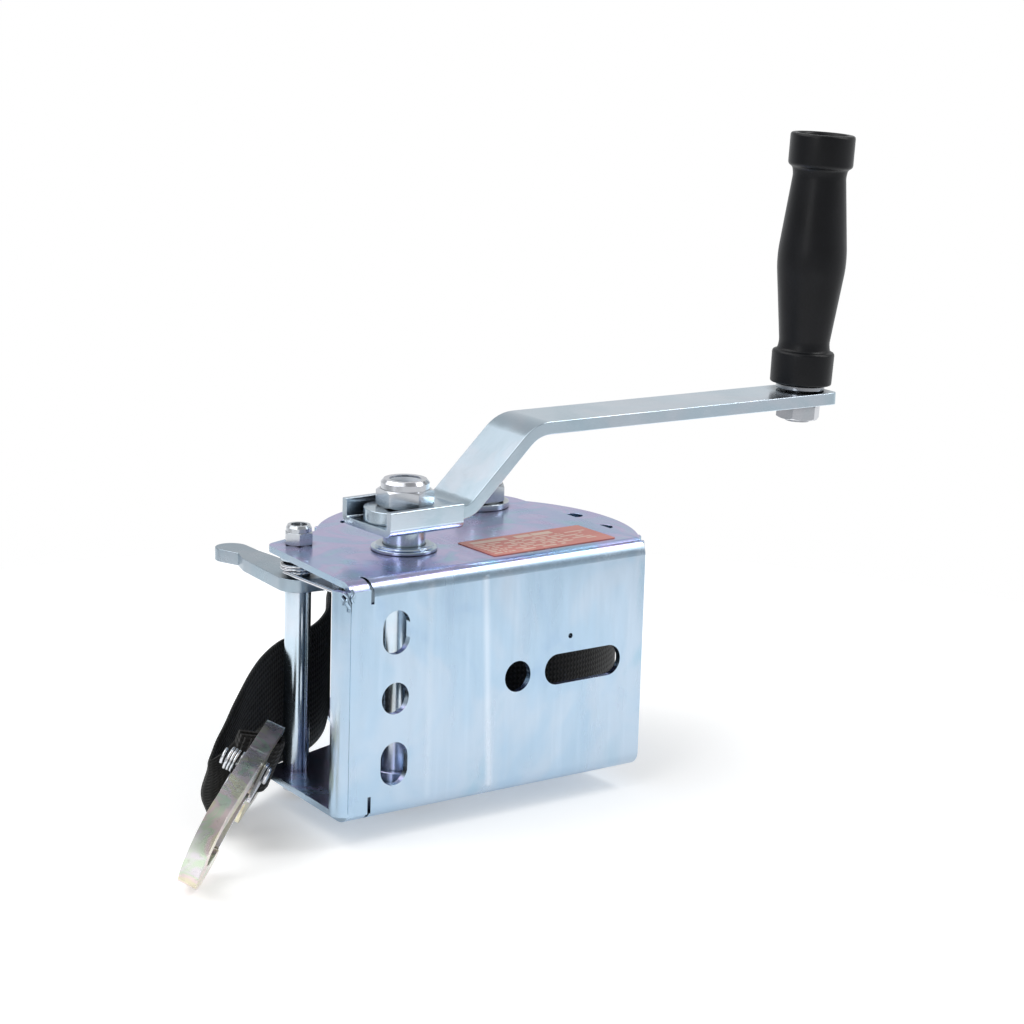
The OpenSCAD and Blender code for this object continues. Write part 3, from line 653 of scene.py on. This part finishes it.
def strap_roll_piece():
    """The wound strap as one long spiral."""
    layer = 2.0
    turns = (ROLL_R - HUB_R - 0.5) / layer - 0.5
    steps = int(turns * 60)
    end = math.atan2(112 - AXLE[1], 73 - AXLE[0])
    rings, uvs = [], []
    run = 0.0
    for i in range(steps + 1):
        a = end + 2 * math.pi * turns * (i / steps - 1)
        r = HUB_R + 0.35 + layer / 2 + layer * turns * i / steps
        run += r * 2 * math.pi * turns / steps if i else 0
        jog = 0.45 * math.sin(i * 0.021) + 0.25 * math.sin(i * 0.083 + 1)
        half = layer * 0.47
        low, high = ROLL_LOW + 0.5 + jog * 0.5, ROLL_LOW + ROLL_W - 0.5 + jog * 0.5
        ring = []
        for dr, z in ((half, low + 0.6), (half, high - 0.6), (half * 0.45, high), (-half * 0.45, high),
                      (-half, high - 0.6), (-half, low + 0.6), (-half * 0.45, low), (half * 0.45, low)):
            rr = r + dr
            ring.append(at((AXLE[0] + rr * math.cos(a), AXLE[1] + rr * math.sin(a), z)))
            uvs.append(((z - ROLL_LOW) * MM, run * MM))
        rings.append(ring)
    v, f = skin(rings)
    o = piece("strap_roll_layers", v, f, WEB, "drum", uvs=uvs, swap=["strap_roll"])


def stitches(name, places, length=2.6, radius=0.28):
    """Short threads that stand on the webbing: places are (middle, along, out) in millimetres."""
    steps = np.linspace(-0.5, 0.5, 6)
    paths = [
        [mid + along * length * t + out * (0.30 * math.cos(t * math.pi) - 0.05) for t in steps]
        for mid, along, out in places
    ]
    verts, faces = bundle(paths, radius, 6)
    piece(name, verts, faces, THREAD, "frame")


def loop_stitches(leg_along, leg_normal):
    """Two rows of stitches across each face of the loop's doubled end."""
    along, out = (TURN @ np.array([q[0], 0, q[1]]) for q in (leg_along, leg_normal))
    across = TURN @ np.array([0, 1, 0])
    places = []
    for face in (1, -1):
        for d in (8.0, 10.6):
            for w in np.arange(-9, 9.1, 3.0):
                places.append((HOOK_AT + along * d + across * w + out * face * 2.2, across, out * face))
    stitches("loop_stitches", places)


strap_tail_piece()
loop_leg = strap_eye_piece()
strap_roll_piece()
loop_stitches(*loop_leg)

# ---------------------------------------------------------------- springs and threads


def spring_pieces():
    z0, r, turns, pitch = 80.7, 6.4, 2, 1.55
    path = [(-r, -44, z0), (-r, -14, z0)]
    for i in range(30 * turns + 1):
        t = i / (30 * turns)
        a = math.pi + (turns * 2 + 1) * math.pi * t
        path.append((r * math.cos(a), r * math.sin(a), z0 + pitch * turns * t))
    path.append((r, 17, z0 + pitch * turns))
    pts = [at((STUD[0] + x, STUD[1] + y, z)) for x, y, z in path]
    v, f = tube(pts, 0.7 * MM, 12)
    piece("pawl_spring_coil", v, f, BRIGHT, "pawl", swap=["pawl_spring"])
    low = -3.8 - 1.2 - 0.9
    path = [(13, 2.4, low)]
    for i in range(30 * 3 + 1):
        t = i / 90
        a = math.radians(110 + t * 1080)
        path.append((4 * math.cos(a), 4 * math.sin(a), low - t * 1.25 * 3))
    path.append((-4, 8, low - 3.75))
    c, sn = math.cos(LATCH_TURN), math.sin(LATCH_TURN)
    pts = [at(on_hook((LATCH_AT[0] + x * c - y * sn, LATCH_AT[1] + x * sn + y * c, z))) for x, y, z in path]
    v, f = tube(pts, 0.6 * MM, 12)
    piece("latch_spring_coil", v, f, BRIGHT, "hook", swap=["latch_spring"])


spring_pieces()
thread("shaft_thread", "crank", upright(SHAFT), 6.0, 109.5, 114.4, 1.75)
thread("axle_thread", "frame", upright(AXLE), 6.0, 99.0, 104.2, 1.75)
thread("stud_thread", "frame", upright(STUD), 3.0, 94.0, 97.2, 1.0)
thread("grip_bolt_thread", "crank", on_grip, 5.0, -15.4, -13.0, 1.5)


def nylon_ring(name, body, place, inner, outer, low, high):
    """A locking ring let into the top of a nut, in millimetres."""
    corners = [(inner, low, 0.1), (outer, low, 0.1), (outer, high, 0.3), (inner, high, 0.3)]
    v, f = lathe(rounded_profile(corners, 3), place, 64)
    piece(name, v, f, NYLON, body)


nylon_ring("crank_nut_nylon", "crank", upright(SHAFT), 5.9, 6.4, 115.6, 117.4)


def corner_fold():
    """Creases where the sheet is gathered at the base's upper front corner."""
    creases = (
        [(4.8, 0.9, 88.3), (6.3, 0.3, 86.6), (5.9, 0.25, 84.6), (7.1, 0.1, 82.6), (6.7, 0.1, 80.9)],
        [(8.4, 1.0, 89.0), (8.7, 0.2, 87.4), (7.9, 0.1, 85.8), (8.6, 0.1, 84.1)],
        [(4.6, 1.6, 86.6), (5.3, 0.7, 85.2), (4.9, 0.6, 83.7)],
    )
    verts, faces = bundle([spline(crease, 24) for crease in creases], 0.6, 8)
    piece("corner_fold", verts, faces, ZINC, "frame")


corner_fold()

# ---------------------------------------------------------------- floor, light and camera

FLOOR_Z = at((0, 0, -8.6))[2]


def build_floor():
    """A pale disc under the winch."""
    n = 96
    a = np.linspace(0, 2 * math.pi, n, endpoint=False)
    verts = [(0, 0, FLOOR_Z)]
    radii = (0.15, 0.25, 0.35, 0.43)
    for r in radii:
        verts += [(r * math.cos(t), r * math.sin(t), FLOOR_Z) for t in a]
    faces = [(0, 1 + k, 1 + (k + 1) % n) for k in range(n)]
    for j in range(len(radii) - 1):
        for k in range(n):
            q = (k + 1) % n
            faces.append((1 + j * n + k, 1 + (j + 1) * n + k, 1 + (j + 1) * n + q, 1 + j * n + q))
    me = bpy.data.meshes.new("floor")
    me.from_pydata(verts, [], faces)
    me.materials.append(floor_paint())
    o = bpy.data.objects.new("floor", me)
    bpy.context.scene.collection.objects.link(o)


build_floor()


def area_light(name, place, target, size, power):
    data = bpy.data.lights.new(name, "AREA")
    data.shape = "RECTANGLE"
    data.size, data.size_y = size
    data.energy = power
    o = bpy.data.objects.new(name, data)
    o.location = place
    o.rotation_euler = (Vector(target) - Vector(place)).to_track_quat("-Z", "Y").to_euler()
    bpy.context.scene.collection.objects.link(o)
    return o


area_light("top_left", (-0.9, 0.7, 1.5), (0.02, 0.02, 0.02), (1.0, 1.0), 4.0)
area_light("front_left", (-1.5, -0.7, 0.9), (0.0, 0.0, 0.05), (0.6, 1.2), 5.0)
area_light("bend_line", (0.86, -0.33, 1.13), (0.0, 0.0, 0.04), (0.5, 0.35), 4.0)
area_light("right", (1.5, -0.9, 1.0), (0.0, 0.0, 0.05), (0.7, 1.2), 5.0)
sun = bpy.data.objects.new("soft_sun", bpy.data.lights.new("soft_sun", "SUN"))
sun.data.energy = 1.2
sun.data.angle = math.radians(70)
sun.rotation_euler = Vector((-0.5, 0.35, 1.0)).to_track_quat("Z", "Y").to_euler()
bpy.context.scene.collection.objects.link(sun)


# brightness of the room by height, from straight down to straight up
BY_HEIGHT = ((0.0, 1.0), (0.5, 0.95), (0.60, 0.72), (0.78, 0.55), (1.0, 0.45))
# and round about, from -X through -Y, +X and +Y
ROUND_ABOUT = (
    (0.0, 1.0), (0.06, 0.62), (0.14, 0.95), (0.62, 1.0), (0.80, 0.80), (0.90, 0.45), (0.97, 0.55), (1.0, 1.0)
)


def build_world():
    """A bright room with a darker side, so that metal has something to show. The camera sees it white."""
    world = bpy.data.worlds.new("studio")
    bpy.context.scene.world = world
    world.use_nodes = True
    t = world.node_tree
    t.nodes.clear()

    def new(kind, *inputs, **props):
        n = t.nodes.new("ShaderNode" + kind)
        for key, value in props.items():
            setattr(n, key, value)
        for slot, value in zip(n.inputs, inputs):
            if isinstance(value, bpy.types.NodeSocket):
                t.links.new(value, slot)
            else:
                slot.default_value = value
        return n

    def ramp(fac, stops, tint=(1, 1, 1)):
        n = new("ValToRGB", fac)
        while len(n.color_ramp.elements) < len(stops):
            n.color_ramp.elements.new(0.5)
        for e, (pos, c) in zip(n.color_ramp.elements, stops):
            e.position = pos
            e.color = (c * tint[0], c * tint[1], c * tint[2], 1)
        return n.outputs["Color"]

    def linear(value, slope, start):
        return new("Math", value, slope, start, operation="MULTIPLY_ADD").outputs[0]

    def blend(mode, fac, a, b):
        n = new("Mix", data_type="RGBA", blend_type=mode)
        for slot, value in ((0, fac), (6, a), (7, b)):
            if isinstance(value, bpy.types.NodeSocket):
                t.links.new(value, n.inputs[slot])
            else:
                n.inputs[slot].default_value = value
        return n.outputs[2]

    x, y, z = new("SeparateXYZ", new("TexCoord").outputs["Generated"]).outputs
    light = ramp(linear(z, 0.5, 0.5), BY_HEIGHT, (0.985, 1.0, 1.01))
    light = blend("MULTIPLY", 1.0, light, linear(y, 0.22, 0.80))
    turn = new("Math", y, x, operation="ARCTAN2").outputs[0]
    light = blend("MULTIPLY", 1.0, light, ramp(linear(turn, 0.5 / math.pi, 0.5), ROUND_ABOUT))
    seen = blend("MIX", new("LightPath").outputs["Is Camera Ray"], light, (1.0, 1.0, 1.0, 1))
    new("OutputWorld", new("Background", seen, 1.0).outputs[0])


build_world()
scene = bpy.context.scene
scene.view_settings.view_transform = "Standard"
scene.view_settings.look = "None"

AZ, EL, ROLL = (math.radians(a) for a in (-37.2, 13.09, 1.69))
CAMERA_AT = (-0.6706, -0.8900, 0.3239)
back = Vector((math.sin(AZ) * math.cos(EL), -math.cos(AZ) * math.cos(EL), math.sin(EL)))
right = (-back).cross(Vector((0, 0, 1))).normalized()
up = right.cross(-back)
turned_right = math.cos(ROLL) * right + math.sin(ROLL) * up
turned_up = -math.sin(ROLL) * right + math.cos(ROLL) * up
cam = bpy.data.cameras.new("camera")
cam.sensor_width = 36.0
cam.lens = 108.86
camera = bpy.data.objects.new("camera", cam)
camera.matrix_world = Matrix(
    [[turned_right[k], turned_up[k], back[k], CAMERA_AT[k]] for k in range(3)] + [[0, 0, 0, 1]]
)
scene.collection.objects.link(camera)
scene.camera = camera

bpy.context.view_layer.update()
